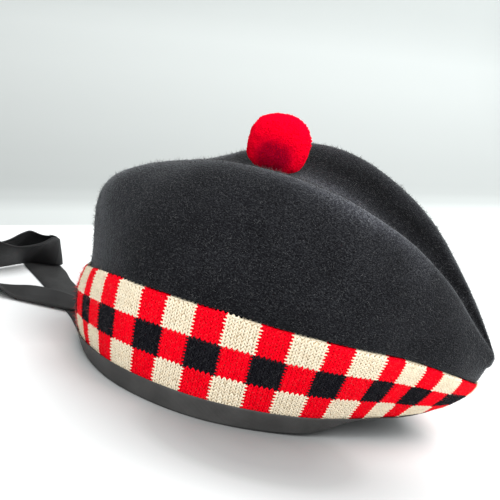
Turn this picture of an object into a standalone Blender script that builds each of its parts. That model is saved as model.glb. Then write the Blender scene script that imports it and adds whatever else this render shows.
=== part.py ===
"""A diced glengarry bonnet: a folded felt cap with a knitted band, a bound edge, a pompom and two
ribbon tails. Metres, +Z up, +X towards the pointed front, -Y towards the wearer's right.
The origin is the middle of the head opening, in the plane on which the bound edge stands."""
import math

import bmesh
import bpy
from mathutils import Vector

# Driving dimensions, metres
RIM_LENGTH = 0.176
RIM_WIDTH = 0.178
WALL_LENGTH = 0.232
WALL_WIDTH = 0.188
BAND_TOP = 0.057
CROWN_LENGTH = 0.240
RIDGE_SPREAD = 0.104
RIDGE_HEIGHT = 0.126
CROWN_INSET = 0.0021
FELT = 0.0025
KNIT = 0.0022
BINDING = 0.0010
BINDING_HEIGHT = 0.011
FIT_GAP = 0.0004
TOORIE_DIAMETER = 0.034
TOORIE_STATION = 0.47
TOORIE_FLATTENING = 0.93
LOCK_HEIGHT = 0.0012
LOCK_INSET = 0.0005
TOORIE_SEAT = 0.0006
TAIL_CLEARANCE = 0.0002
RIBBON_WIDTH = 0.023
RIBBON = 0.0011
TAIL_SPAN = 0.110

# Counts
STATIONS = 26
BAND_ROWS = 7
WALL_ROWS = 7
VALLEY_ROWS = 5
BINDING_ROWS = 2
RIBBON_COLUMNS = 4
TAIL_STEPS = 4

# Steps for taking directions off the smooth shapes, and the distance that welds a loft's seams
LOOP_STEP = 0.012
SHARE_STEP = 0.05
ROUTE_STEP = 0.01
WELD = 0.00002

# Plan of the edge and of the wall at the top of the band, on the wearer's right and left alike.
# station: share of the way round from the rear seam to the front.
# rim_x, rim_y: shares of RIM_LENGTH and of half of RIM_WIDTH.
# rim_z: how far the edge lifts off the surface, a share of BAND_TOP.
# wall_x, wall_y: shares of WALL_LENGTH and of half of WALL_WIDTH.
# top_z: height of the band's upper edge, a share of BAND_TOP.
# tuck: how strongly the wall curls in towards the edge; 1 is a straight slope.
# swell: how far the wall bulges halfway up the band, a share of its own plan.
WALL_TABLE = (
    # station, rim_x, rim_y, rim_z, wall_x, wall_y, top_z, tuck, swell
    (0.000, -0.360, 0.000, 0.000, -0.309, 0.000, 0.700, 1.60, 0.055),
    (0.083, -0.350, 0.230, 0.000, -0.300, 0.272, 0.730, 1.60, 0.055),
    (0.167, -0.305, 0.450, 0.000, -0.267, 0.496, 0.810, 1.60, 0.045),
    (0.250, -0.240, 0.650, 0.000, -0.212, 0.704, 0.900, 1.50, 0.030),
    (0.333, -0.150, 0.840, 0.000, -0.133, 0.885, 0.970, 1.20, 0.020),
    (0.500, 0.114, 1.000, 0.000, 0.088, 1.000, 1.010, 1.10, 0.000),
    (0.667, 0.370, 0.760, 0.020, 0.320, 0.890, 0.985, 1.20, 0.000),
    (0.833, 0.560, 0.330, 0.100, 0.500, 0.500, 0.890, 1.35, 0.000),
    (0.917, 0.630, 0.160, 0.160, 0.578, 0.270, 0.780, 1.40, 0.000),
    (1.000, 0.650, 0.000, 0.190, 0.615, 0.000, 0.650, 1.40, 0.000),
)

# Ridges and the valley between them, and the fullness of the crown below them.
# ridge_x: share of CROWN_LENGTH. right_y, left_y: shares of half of RIDGE_SPREAD.
# right_z, left_z, valley_z: shares of RIDGE_HEIGHT.
# shoulder: length of the level run into the ridge, a share of the crown wall's span.
# lean: how far the crown carries on the slope of the band; 0 starts it upright.
# inset: how far the crown starts inside the band's outer face, a share of CROWN_INSET.
RIDGE_TABLE = (
    # station, ridge_x, right_y, right_z, left_y, left_z, valley_z, shoulder, lean, inset
    (0.000, -0.292, 0.000, 0.600, 0.000, 0.600, 0.600, 0.46, 0.00, 1.00),
    (0.083, -0.278, 0.230, 0.690, 0.200, 0.680, 0.630, 0.45, 0.00, 1.00),
    (0.167, -0.247, 0.420, 0.775, 0.350, 0.745, 0.680, 0.47, 0.00, 1.00),
    (0.333, -0.130, 0.660, 0.905, 0.560, 0.850, 0.790, 0.30, 0.30, 0.40),
    (0.417, -0.035, 0.860, 0.965, 0.800, 0.955, 0.870, 0.26, 0.40, 0.10),
    (0.500, 0.075, 1.000, 0.990, 0.960, 1.025, 0.920, 0.22, 0.50, 0.00),
    (0.667, 0.300, 0.860, 0.935, 0.830, 0.945, 0.800, 0.18, 0.50, 0.00),
    (0.833, 0.490, 0.430, 0.725, 0.400, 0.705, 0.600, 0.12, 0.60, 0.00),
    (0.917, 0.575, 0.190, 0.545, 0.180, 0.535, 0.490, 0.12, 0.80, 0.00),
    (1.000, 0.620, 0.000, 0.440, 0.000, 0.440, 0.440, 0.20, 1.00, 0.00),
)

# Shape of the crown between the band and the ridge, and from the ridge to the valley.
# CROWN_RISE: length of the run out of the band, a share of the crown wall's span.
# CROWN_SPACING: 1 spaces the crown's rows evenly, and more draws them towards the band.
# LEVEL_LIMIT: the least level part of a wall's normal that a level offset divides by.
# RIDGE_SLOPE, VALLEY_FLAT: level runs out of the ridge and into the valley, shares of the
# half spread there.
CROWN_RISE = 0.40
CROWN_SPACING = 1.1
LEVEL_LIMIT = 0.5
RIDGE_SLOPE = 0.25
VALLEY_FLAT = 0.35

# Route of each ribbon tail. x, y: the ribbon's middle from the rear seam, shares of TAIL_SPAN.
# lift: how many ribbons lie under its lower edge.
# bank: turn about the route, in degrees; a negative one lifts the edge on the route's left.
# The two START values: the places on the whole loop between which the ribbon leaves the edge.
SHORT_START = (1.925, 2.075)
LONG_START = (1.830, 1.975)
SHORT_TAIL = (
    # x, y, lift, bank
    (-0.114, 0.160, 0.0, 0.0),
    (-0.324, 0.430, 0.0, 0.0),
    (-0.544, 0.710, 0.0, 0.0),
    (-0.774, 0.990, 0.0, 0.0),
)
LONG_TAIL = (
    # x, y, lift, bank
    (-0.164, 0.320, 1.0, 0.0),
    (-0.344, 0.240, 1.0, 8.0),
    (-0.544, 0.165, 1.0, 2.0),
    (-0.750, 0.090, 0.6, -35.0),
    (-0.845, 0.200, 0.6, -66.0),
    (-0.768, 0.390, 1.0, -122.0),
    (-0.716, 0.600, 1.0, -130.0),
    (-0.682, 0.800, 1.0, -122.0),
    (-0.645, 0.915, 1.0, -95.0),
    (-0.660, 0.983, 1.0, -70.0),
    (-0.724, 0.992, 1.0, -58.0),
    (-0.786, 0.865, 1.0, -62.0),
    (-0.819, 0.720, 1.0, -58.0),
    (-0.855, 0.550, 1.0, -46.0),
    (-0.915, 0.430, 1.0, -40.0),
)


def smooth(table, column, station):
    """Read one column of a table at a station, with a smooth curve through its rows."""
    keys = [row[0] for row in table]
    values = [row[column] for row in table]
    last = len(keys) - 1
    i = min(max(sum(1 for key in keys[1:-1] if key <= station), 0), last - 1)
    spans = [keys[k + 1] - keys[k] for k in range(last)]
    rates = [(values[k + 1] - values[k]) / spans[k] for k in range(last)]

    def slope(k):
        if k == 0:
            return rates[0]
        if k == last:
            return rates[-1]
        before, after = spans[k - 1], spans[k]
        return (rates[k - 1] * after + rates[k] * before) / (before + after)

    h = spans[i]
    t = (station - keys[i]) / h
    return ((1 + 2 * t) * (1 - t) ** 2 * values[i] + t * (1 - t) ** 2 * h * slope(i)
            + t * t * (3 - 2 * t) * values[i + 1] + t * t * (t - 1) * h * slope(i + 1))


def fold(loop):
    """Split a place on the whole loop into its side and its station. The loop runs from the rear
    seam (0) along the wearer's right to the front (1), and back along the left to the rear (2)."""
    loop = loop % 2.0
    if loop <= 1.0:
        return -1, loop
    return 1, 2.0 - loop


def lower_wall(loop, share):
    """A point of the felt's outer face behind the band; share runs from the edge to the band top."""
    side, station = fold(loop)
    rim_x = smooth(WALL_TABLE, 1, station) * RIM_LENGTH
    rim_y = smooth(WALL_TABLE, 2, station) * RIM_WIDTH / 2
    rim_z = max(smooth(WALL_TABLE, 3, station), 0.0) * BAND_TOP
    wall_x = smooth(WALL_TABLE, 4, station) * WALL_LENGTH
    wall_y = smooth(WALL_TABLE, 5, station) * WALL_WIDTH / 2
    top = smooth(WALL_TABLE, 6, station) * BAND_TOP
    tuck = smooth(WALL_TABLE, 7, station)
    swell = 1 + smooth(WALL_TABLE, 8, station) * 4 * share * (1 - share)
    out = 1 - max(1 - share, 0.0) ** tuck
    x = rim_x + (wall_x - rim_x) * out
    y = rim_y + (wall_y - rim_y) * out
    return Vector((x * swell, side * y * swell, rim_z + (top - rim_z) * share))


def wall_normal(loop, share):
    """The outward direction of the lower wall."""
    along = lower_wall(loop + LOOP_STEP, share) - lower_wall(loop - LOOP_STEP, share)
    low, high = max(share - SHARE_STEP, 0.0), min(share + SHARE_STEP, 1.0)
    up = lower_wall(loop, high) - lower_wall(loop, low)
    return along.cross(up).normalized()


def wall_at(loop, share, offset):
    """A point of the lower wall, moved outward and level until it lies an offset off the wall."""
    normal = wall_normal(loop, share)
    level = Vector((normal.x, normal.y, 0.0))
    return lower_wall(loop, share) + level * offset / max(level.length, LEVEL_LIMIT) ** 2


def bezier(a, b, c, d, t):
    return a * (1 - t) ** 3 + b * 3 * t * (1 - t) ** 2 + c * 3 * t * t * (1 - t) + d * t ** 3


def ridge_point(loop):
    side, station = fold(loop)
    y_column, z_column = (2, 3) if side < 0 else (4, 5)
    x = smooth(RIDGE_TABLE, 1, station) * CROWN_LENGTH
    y = smooth(RIDGE_TABLE, y_column, station) * RIDGE_SPREAD / 2
    z = smooth(RIDGE_TABLE, z_column, station) * RIDGE_HEIGHT
    return Vector((x, side * y, z))


def valley_point(loop):
    station = fold(loop)[1]
    x = smooth(RIDGE_TABLE, 1, station) * CROWN_LENGTH
    return Vector((x, 0.0, smooth(RIDGE_TABLE, 6, station) * RIDGE_HEIGHT))


def crown_point(loop, share):
    """A point of the crown's outer wall; share runs from the band's upper edge to the ridge."""
    station = fold(loop)[1]
    inset = CROWN_INSET * smooth(RIDGE_TABLE, 9, station)
    start = wall_at(loop, step_share(), KNIT + FIT_GAP - inset)
    ridge = ridge_point(loop)
    span = (ridge - start).length
    lean = (lower_wall(loop, 1.0) - lower_wall(loop, 1.0 - 2 * SHARE_STEP)).normalized()
    shoulder = smooth(RIDGE_TABLE, 7, station)
    up = Vector((0.0, 0.0, 1.0)).lerp(lean, smooth(RIDGE_TABLE, 8, station)).normalized()
    out = wall_normal(loop, 1.0)
    out.z = 0.0
    return bezier(start, start + up * span * CROWN_RISE,
                  ridge + out.normalized() * span * shoulder, ridge, share)


def slope_point(loop, share):
    """A point of the inner slope; share runs from the ridge to the valley's centre line."""
    ridge = ridge_point(loop)
    valley = valley_point(loop)
    width = abs(ridge.y)
    side = -1.0 if ridge.y < 0 else 1.0
    inward = Vector((0.0, -side * width * RIDGE_SLOPE, 0.0))
    outward = Vector((0.0, side * width * VALLEY_FLAT, 0.0))
    return bezier(ridge, ridge + inward, valley + outward, valley, share)


def opening_centre():
    """The middle of the head opening, along the line from the rear seam to the front."""
    return Vector(((WALL_TABLE[0][1] + WALL_TABLE[-1][1]) / 2 * RIM_LENGTH, 0.0, 0.0))


def new_object(name, mesh, material, collection):
    """A piece, moved so that the middle of the head opening is the origin."""
    thing = bpy.data.objects.new(name, mesh)
    thing.location = -opening_centre()
    thing.data.materials.append(material)
    collection.objects.link(thing)
    return thing


def loft(name, sections, closed, ring=False):
    """A mesh through sections of equal length; with closed, the last section joins the first, and
    with ring each section is itself a closed outline."""
    bm = bmesh.new()
    rings = [[bm.verts.new(point) for point in section] for section in sections]
    count = len(rings)
    for i in range(count if closed else count - 1):
        here, after = rings[i], rings[(i + 1) % count]
        for j in range(len(here) if ring else len(here) - 1):
            k = (j + 1) % len(here)
            bm.faces.new((here[j], after[j], after[k], here[k]))
    bmesh.ops.remove_doubles(bm, verts=bm.verts, dist=WELD)
    bmesh.ops.recalc_face_normals(bm, faces=bm.faces)
    mesh = bpy.data.meshes.new(name)
    bm.to_mesh(mesh)
    bm.free()
    mesh.shade_smooth()
    return mesh


def thicken(thing, thickness, offset):
    solid = thing.modifiers.new("Thickness", "SOLIDIFY")
    solid.thickness = thickness
    solid.offset = offset
    solid.use_even_offset = True
    solid.use_rim = True
    return solid


def cloth(name, color, roughness):
    material = bpy.data.materials.new(name)
    material.use_nodes = True
    shader = material.node_tree.nodes["Principled BSDF"]
    shader.inputs["Base Color"].default_value = (*color, 1.0)
    shader.inputs["Roughness"].default_value = roughness
    shader.inputs["Metallic"].default_value = 0.0
    return material


def loops():
    return [i / STATIONS for i in range(2 * STATIONS)]


def edge_share():
    """The share of the lower wall at which the felt and the knit end, above the binding's fold."""
    return (BINDING + 2 * FIT_GAP) / BAND_TOP


def step_share():
    """The share of the lower wall at which the felt steps out over the band's upper edge."""
    return 1 + 2 * FIT_GAP / BAND_TOP


def make_body(collection):
    sections = []
    for loop in loops():
        section = []
        for j in range(BAND_ROWS + 1):
            share = edge_share() + (1 - edge_share()) * j / BAND_ROWS
            section.append(wall_at(loop, share, 0.0))
        section.append(wall_at(loop, step_share(), 0.0))
        for j in range(WALL_ROWS):
            section.append(crown_point(loop, (j / WALL_ROWS) ** CROWN_SPACING))
        for j in range(VALLEY_ROWS + 1):
            section.append(slope_point(loop, j / VALLEY_ROWS))
        sections.append(section)
    mesh = loft("bonnet_body", sections, True)
    thing = new_object("bonnet_body", mesh, cloth("black_felt", (0.012, 0.012, 0.014), 0.95), collection)
    thicken(thing, FELT, -1.0)
    return thing


def make_band(collection):
    """A knitted ring that lies on the felt, from the binding's fold to the step in the crown."""
    sections = []
    shares = [edge_share() + (1 - edge_share()) * j / BAND_ROWS for j in range(BAND_ROWS + 1)]
    for loop in loops():
        outer = [wall_at(loop, share, FIT_GAP + KNIT) for share in shares]
        inner = [wall_at(loop, share, FIT_GAP) for share in reversed(shares)]
        sections.append(outer + inner)
    mesh = loft("diced_band", sections, True, ring=True)
    return new_object("diced_band", mesh, cloth("red_knit", (0.75, 0.01, 0.03), 0.9), collection)


def make_binding(collection):
    """A ribbon folded round the lower edge: up the outside, flat below, and up the inside."""
    height = BINDING_HEIGHT / BAND_TOP
    low = edge_share()
    fold_share = BINDING / BAND_TOP
    outside = KNIT + 2 * FIT_GAP
    inside = -FELT - 2 * FIT_GAP
    climb = [low + (height - low) * j / BINDING_ROWS for j in range(BINDING_ROWS + 1)]
    descent = list(reversed(climb))
    sections = []
    for loop in loops():
        skin = [wall_at(loop, share, outside + BINDING) for share in descent + [0.0]]
        skin += [wall_at(loop, share, inside - BINDING) for share in [0.0] + climb]
        lining = [wall_at(loop, share, inside) for share in descent + [fold_share]]
        lining += [wall_at(loop, share, outside) for share in [fold_share] + climb]
        sections.append(skin + lining)
    mesh = loft("edge_binding", sections, True, ring=True)
    return new_object("edge_binding", mesh, cloth("black_ribbon", (0.02, 0.02, 0.024), 0.45), collection)


def make_toorie(collection):
    """A wool ball whose facets rise as short locks; its underside sits in the valley."""
    seat = valley_point(TOORIE_STATION)
    radius = TOORIE_DIAMETER / 2 - LOCK_HEIGHT
    bm = bmesh.new()
    bmesh.ops.create_icosphere(bm, subdivisions=3, radius=radius)
    bmesh.ops.inset_individual(bm, faces=bm.faces[:], thickness=LOCK_INSET, depth=LOCK_HEIGHT)
    lift = seat.z + FIT_GAP + TOORIE_FLATTENING * TOORIE_DIAMETER / 2 + TOORIE_SEAT
    for vert in bm.verts:
        vert.co.z *= TOORIE_FLATTENING
        vert.co += Vector((seat.x, 0.0, lift))
    mesh = bpy.data.meshes.new("toorie")
    bm.to_mesh(mesh)
    bm.free()
    mesh.shade_smooth()
    return new_object("toorie", mesh, cloth("red_wool", (0.8, 0.0, 0.02), 0.95), collection)


def tail_section(place, heading, bank):
    across = Vector((heading.y, -heading.x, 0.0)).normalized()
    width = across * math.cos(bank) + Vector((0.0, 0.0, math.sin(bank)))
    return [place + width * RIBBON_WIDTH * (0.5 - k / RIBBON_COLUMNS) for k in range(RIBBON_COLUMNS + 1)]


def make_tail(name, table, collection, leave, height):
    """A ribbon that leaves the bound edge between two places on the loop and follows its table."""
    sections = []
    offset = KNIT + 3 * FIT_GAP + BINDING + TAIL_CLEARANCE
    start = []
    for k in range(RIBBON_COLUMNS + 1):
        loop = leave[0] + (leave[1] - leave[0]) * k / RIBBON_COLUMNS
        corner = wall_at(loop, (height + RIBBON) / BAND_TOP, offset)
        start.append(Vector((corner.x, corner.y, height)))
    sections.append(start)
    steps = TAIL_STEPS * (len(table) - 1)
    keyed = [(i / (len(table) - 1),) + tuple(row) for i, row in enumerate(table)]

    def place(t):
        x = lower_wall(0.0, 0.0).x + smooth(keyed, 1, t) * TAIL_SPAN
        y = smooth(keyed, 2, t) * TAIL_SPAN
        return Vector((x, y, 0.0))

    def height_at(t, bank):
        return RIBBON / 2 + smooth(keyed, 3, t) * (RIBBON + FIT_GAP) + abs(math.sin(bank)) * RIBBON_WIDTH / 2

    for i in range(steps + 1):
        t = i / steps
        ahead = place(min(t + ROUTE_STEP, 1.0)) - place(max(t - ROUTE_STEP, 0.0))
        bank = math.radians(smooth(keyed, 4, t))
        middle = place(t) + Vector((0.0, 0.0, height_at(t, bank)))
        sections.append(tail_section(middle, ahead, bank))
    mesh = loft(name, sections, False)
    thing = new_object(name, mesh, cloth(name + "_ribbon", (0.05, 0.05, 0.055), 0.4), collection)
    thicken(thing, RIBBON, 0.0)
    return thing


def main():
    for thing in list(bpy.data.objects):
        bpy.data.objects.remove(thing, do_unlink=True)
    parts = bpy.data.collections.new("glengarry_bonnet")
    bpy.context.scene.collection.children.link(parts)
    make_body(parts)
    make_band(parts)
    make_binding(parts)
    make_toorie(parts)
    make_tail("ribbon_tail_short", SHORT_TAIL, parts, SHORT_START, RIBBON / 2)
    make_tail("ribbon_tail_long", LONG_TAIL, parts, LONG_START, RIBBON * 1.5 + FIT_GAP)


main()
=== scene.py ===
"""Looks of the diced glengarry bonnet: felt, knitted dicing, bound edge, pompom and ribbon tails."""
import math

import bmesh
import bpy
import numpy as np
from mathutils import Matrix, Vector, noise
from mathutils.bvhtree import BVHTree


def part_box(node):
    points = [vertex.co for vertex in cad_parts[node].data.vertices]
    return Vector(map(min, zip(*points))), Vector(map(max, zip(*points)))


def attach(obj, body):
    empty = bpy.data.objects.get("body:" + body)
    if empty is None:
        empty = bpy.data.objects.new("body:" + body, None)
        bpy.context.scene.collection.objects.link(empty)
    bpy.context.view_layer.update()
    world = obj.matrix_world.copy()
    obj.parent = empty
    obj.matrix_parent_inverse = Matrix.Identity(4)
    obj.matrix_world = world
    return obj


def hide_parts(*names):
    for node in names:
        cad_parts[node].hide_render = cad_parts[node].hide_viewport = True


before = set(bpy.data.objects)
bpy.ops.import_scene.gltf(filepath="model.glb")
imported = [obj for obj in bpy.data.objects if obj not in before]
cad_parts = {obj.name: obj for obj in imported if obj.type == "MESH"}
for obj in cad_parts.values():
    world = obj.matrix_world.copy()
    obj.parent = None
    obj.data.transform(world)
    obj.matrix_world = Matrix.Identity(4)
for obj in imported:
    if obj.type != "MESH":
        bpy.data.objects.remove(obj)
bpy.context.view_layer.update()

# The camera's aim, its place round the bonnet in degrees, its distance, and its lens and sensor in
# millimetres
AIM = Vector((-0.0181, 0.0, 0.0703))
CAMERA_AZIMUTH = 12.69
CAMERA_ELEVATION = 12.42
CAMERA_ROLL = 14.45
CAMERA_DISTANCE = 1.077
CAMERA_FAR = 20.0
CAMERA_LENS = 143.6
SENSOR_WIDTH = 36.0

# The plain value of the pieces' shade attribute, which goes from 0, dark, to 1, pale
PLAIN_SHADE = 0.5

# Knitting: stitches across and up a square, the band's rows as shares of its height from the top,
# the courses that show, and how far up they sit
WALES = 6
COURSES = 9
ROW_EDGES = (1.0, 0.69, 0.40, 0.11)
COURSES_SHOWN = 26
COURSE_LIFT = 0.012
# The height of a course, as a share of the band's
COURSE_HEIGHT = (ROW_EDGES[0] - ROW_EDGES[2]) / (2 * COURSES)
# Edges between the columns on the wearer's right, in degrees round the opening from the front
COLUMN_EDGES = (-147.0, -141.0, -134.0, -126.0, -117.2, -108.3, -99.5, -89.5, -79.2, -69.0, -58.9,
                -49.3, -39.0, -31.5, -24.7, -18.0, -10.7, 0.0)
REAR_COLUMNS = 8
STITCH_THICKNESS = 0.0011
STITCH_SINK = 0.00035
# Half a stitch, in stitches: its width and taper, how far it leans at its middle and more at its
# ends, its bend, its height and its sag
LOOP_WIDTH = 0.56
LOOP_TAPER = 0.15
LOOP_LEAN = 0.25
LOOP_SPREAD = 0.22
LOOP_BEND = 0.5
LOOP_HEIGHT = 1.60
LOOP_SAG = 0.12
# How uneven the stitches are: their places, thickness and shade
PLACE_SCATTER = 0.04
THICKNESS_SCATTER = 0.06
SHADE_SCATTER = 0.10
# How far the red, the cream and the black stitches stand off the rest
YARN_LIFT = (0.0, 0.00015, 0.0)
# Strands that reach over the upright edges of the squares: how far out their middles lie and how
# long they are, in stitches, and their slope in degrees
TOOTH_REACH = 0.06
TOOTH_LENGTH = 0.95
TOOTH_TILT = 30.0
# Their thickness, and how uneven their places and lengths are
STRAND_HEIGHT = 0.0011
STRAND_PLACE_SCATTER = 0.06
STRAND_LENGTH_SCATTER = 0.18
# The bound-off row: its share of the band's height, and its strands' length in stitches
BIND_OFF = 0.993
BIND_LENGTH = 1.4
# The band's outer face as measured: places round it and rows up it, how far out the rays start,
# and heights inside, below and above the band, between which its edges are found
GRID_TURNS = 360
GRID_ROWS = 40
RAY_REACH = 0.2
BAND_INSIDE = 0.03
BAND_BELOW = -0.02
BAND_ABOVE = 0.08
EDGE_STEPS = 16
# Steps for directions on it, in degrees and as a share of its height
TURN_STEP = 0.8
SHARE_STEP = 0.02
# The knit behind the stitches: its faces across a column and up the band, the shares of the
# height where it starts and ends, its depth, which is less at its upper edge, its wall, and its
# shade, which is painted shade for the gaps between the stitches
BACKING_ACROSS = 4
BACKING_ROWS = 24
BACKING_START = 0.02
BACKING_END = 0.995
BACKING_SINK = 0.0007
BACKING_EDGE_SINK = 0.0001
BACKING_WALL = 0.001
BACKING_SHADE = 0.05

# Yarns: the colour between stitches, which is painted shade for the gaps, of a stitch, and of the
# palest stitch
RED = ((0.60, 0.0, 0.008), (1.0, 0.0, 0.012), (1.0, 0.004, 0.022))
CREAM = ((0.62, 0.48, 0.30), (0.93, 0.81, 0.61), (0.97, 0.89, 0.72))
BLACK = ((0.003, 0.003, 0.004), (0.008, 0.008, 0.011), (0.022, 0.022, 0.026))
# Loose hairs on the knit: their length, its smallest share and what chance adds, their width, and
# their colours on the red, the cream and the black
WISPS = 14000
WISP_LENGTH = 0.0014
WISP_SHORTEST = 0.5
WISP_LONGER = 1.2
WISP_WIDTH = 0.00011
WISP_COLORS = ((1.0, 0.06, 0.07), CREAM[2], (0.06, 0.06, 0.065))
# The share of the band's height where they start, how much they stand up and spread, and the
# places between which they get twice as long towards the rear
WISP_START = 0.15
WISP_LIFT = (0.15, 0.50)
WISP_SPREAD = 0.8
LOOSE_RUN = (-0.075, -0.055)
# The radius of a hair's root, in widths
HAIR_RADIUS = 0.6

# The rim at the front, by degrees from the front: its height, and how far the visible rim is
# lifted where the binding turns in under the band
RIM_TURNS = (0.0, 10.0, 20.0, 30.0, 40.0, 50.0, 60.0)
RIM_HEIGHTS = (0.0105, 0.0093, 0.0062, 0.0048, 0.0036, 0.0025, 0.0016)
BOUND_HEIGHT = 0.0085
TUCK_TURNS = (30.0, 36.0, 46.0, 55.0)
TUCK_LIFTS = (0.0062, 0.0052, 0.0018, 0.0)

# Felt: the height and scale of its unevenness and of its grain
FELT_ROLL = 0.0005
ROLL_SCALE = 38.0
FELT_GRAIN = 0.00012
GRAIN_SCALE = 420.0
# Slices along the bonnet in which its two ridges are found
FOLD_COLUMNS = 40
# The lowest part of the far slope and of the near crest, as shares of their ridge's height
SLOPE_BOTTOM = 0.5
CREST_BOTTOM = 0.6
# The paler crest of the near ridge, a painted highlight for the nap's sheen: its width and its share
# on the valley side; where it starts and its length; and how pale it is, by places in that length
CREST_WIDTH = 0.009
CREST_INNER = 0.7
CREST_START = -0.025
CREST_LENGTH = 0.065
CREST_PALE = ((0.0, 1.0, 1.2, 1.7714), (0.0, 0.5, 0.5, 0.0))
# How much darker that crest is painted towards the rear, as painted shade, and over which part of
# its length it gets so
CREST_REAR_PAINTED_SHADE = 0.40
CREST_REAR_SHADE_RUN = 0.5
# The painted shade on the fold's far slope: its middle and spread, shares of the way up to the far
# ridge
FOLD_DEPTH = 0.60
FOLD_SPREAD = 0.20
# How much paler the valley's floor is painted, a painted highlight for the nap's sheen, how far up
# the far slope that reaches, and where along the bonnet it starts and is full
VALLEY_PAINTED_SHEEN = 0.60
FLOOR_REACH = 0.36
FLOOR_RUN = (-0.045, 0.025)
# How much paler the felt is painted at the rear, a painted highlight for the nap's sheen, and where
# that is full and where it starts
REAR_PAINTED_SHEEN = 0.08
REAR_RUN = (-0.085, -0.055)
# Nap: its hairs, their length, its smallest share and what chance adds, and their width
NAP_FIBRES = 45000
NAP_LENGTH = 0.0016
NAP_SHORTEST = 0.45
NAP_LONGER = 1.6
NAP_WIDTH = 0.00016
# How low they grow, as a share of the height of the band's top, and on how far overhanging a face
NAP_BOTTOM = 0.6
NAP_UNDER = -0.35
# How they lean, and by how much those that would lie flatter than a limit are raised
NAP_LEAN = 0.55
NAP_FLATTEST = 0.1
NAP_RAISE = 0.9

# Pompom: its core's share of the ball, with its ripples and its painted shade where it shows
# between the strands
CORE_SHARE = 0.88
CORE_RIPPLE = 0.03
RIPPLE_SCALE = 5.0
CORE_SHADE = 0.7
# Its strands: how unevenly they point, their width, its smallest share and what chance adds, how
# uneven their shade is, and how deep in the core their roots lie
STRANDS = 15000
STRAND_JITTER = 0.03
STRAND_WIDTH = 0.00050
STRAND_NARROWEST = 0.7
STRAND_WIDER = 0.6
LIGHT_SCATTER = 0.03
ROOT_DEPTH = 0.06
# How square the ball is below and above its middle; 2 would be round
SQUARE_BELOW = 3.2
SQUARE_ABOVE = 2.3
# The strands' reach, and how it varies by tufts and by single strands
REACH = 0.97
TUFT_REACH = 0.03
TUFT_SCALE = 4.0
STRAND_REACH = 0.008
# The dent in the wool at its lower front: that side, the cosine from it where the dent starts and
# its run to the full depth, how much shorter the strands get, and how much darker they are painted
# there as painted shade
LOW_SIDE = (0.12, -0.90, -0.42)
PRESS_START = 0.62
PRESS_RUN = 0.30
PRESS_DEPTH = 0.02
PRESS_PAINTED_SHADE = 0.58
# Where its ends are ragged, given the same way, and how much clumps and single strands vary there
RAGGED_SIDE = (0.80, -0.10, 0.60)
RAGGED_START = 0.5
RAGGED_RUN = 0.3
RAGGED_REACH = 0.025
RAGGED_STRANDS = 0.014
CLUMP_SCALE = 13.0

# Middle lines of the two ribbons on the surface, metres, from the rear seam outward
LONG_ROUTE = ((-0.0845, 0.0300), (-0.1069, 0.0352), (-0.1267, 0.0264), (-0.1487, 0.0181),
              (-0.1714, 0.0099), (-0.1818, 0.0220), (-0.1734, 0.0429), (-0.1676, 0.0660),
              (-0.1639, 0.0880), (-0.1598, 0.1007), (-0.1615, 0.1081), (-0.1685, 0.1091),
              (-0.1754, 0.0952), (-0.1790, 0.0792), (-0.1829, 0.0605), (-0.1895, 0.0473))
SHORT_ROUTE = ((-0.0890, 0.0), (-0.1011, 0.0176), (-0.1242, 0.0473), (-0.1484, 0.0781),
               (-0.1737, 0.1089))
RIBBON_WIDTH = 0.023
# The standing fold's tip: how far its lower edge and its middle lean out, the height above which
# its upper edge is pressed down and by which share, and where both start and end
TIP_LEAN = 0.0030
TIP_BULGE = 0.0012
TIP_HEIGHT = 0.0178
TIP_PRESS = 0.85
TIP_RUN = (0.084, 0.102)
# The opening's mean radius, for the binding's length round it
RIM_RADIUS = 0.092

# The soft shade on the floor in front of the rim: the middle and half lengths of its oval, the
# floor's colour, and the tones by the distance from its middle
SHADE_MIDDLE = (0.030, -0.105, 0.0)
SHADE_HALF = (0.060, 0.055, 1.0)
SHADE_REACH = 2.6
FLOOR_COLOR = (0.86, 0.88, 0.88)
SHADE_TONES = ((0.0, 0.27), (0.5, 0.30), (0.85, 0.38), (1.05, 0.49), (1.3, 0.57), (1.6, 0.66),
               (2.0, 0.80), (2.4, 1.0))

# Half a side of the floor
FLOOR_HALF = 3.0

# Backdrop: how far above the picture's middle it starts to rise, as a share of the picture, and
# the radius of its bend
BACKDROP_ROW = 0.064
BACKDROP_BEND = 0.15
# How far in front of that line it begins, its rows and columns, and how many rows have the same step
BACKDROP_START = 0.015
BACKDROP_STEP = 0.0275
BACKDROP_ROWS = 11
BACKDROP_COLUMNS = 16
PLAIN_ROWS = 8
# Its left and right end along the line where it starts
BACKDROP_ENDS = (-0.33, 0.49)
# How far up its curve it goes, by places along it: no further than the picture needs
BACKDROP_TOP = ((-0.209, 0.072, 0.244, 0.444), (0.209, 0.233, 0.248, 0.266))
# Its tones by height in metres, painted light and shade that grey it on its way up, and its tint;
# and the places along it between which it turns from its darker left side, also painted shade, to
# plain, and the tone of that side
BACKDROP_TONES = ((0.0, 1.0), (0.0008, 0.98), (0.002, 0.86), (0.0035, 0.74), (0.006, 0.65),
                  (0.010, 0.61), (0.024, 0.605), (0.052, 0.64), (0.08, 0.69), (0.106, 0.72),
                  (0.125, 0.69), (0.15, 0.67))
BACKDROP_TINT = (0.915, 0.96, 0.945)
BACKDROP_SIDES = (0.074, 0.794)
BACKDROP_LEFT = (0.60, 0.60, 0.60)

# Light: the room's colour and strength, and each lamp's place from the camera's aim, its size and
# power; the front lamp's place goes back, right and up in the picture
WORLD_COLOR = (0.93, 0.96, 0.97, 1.0)
WORLD_STRENGTH = 0.51
TOP_PLACE = (0.55, 0.10, 1.2)
TOP_SIZE = 1.2
TOP_POWER = 21.0
FRONT_PLACE = (1.3, 0.3, 0.55)
FRONT_SIZE = 1.4
FRONT_POWER = 18.2

stream = np.random.default_rng(7)


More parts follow.
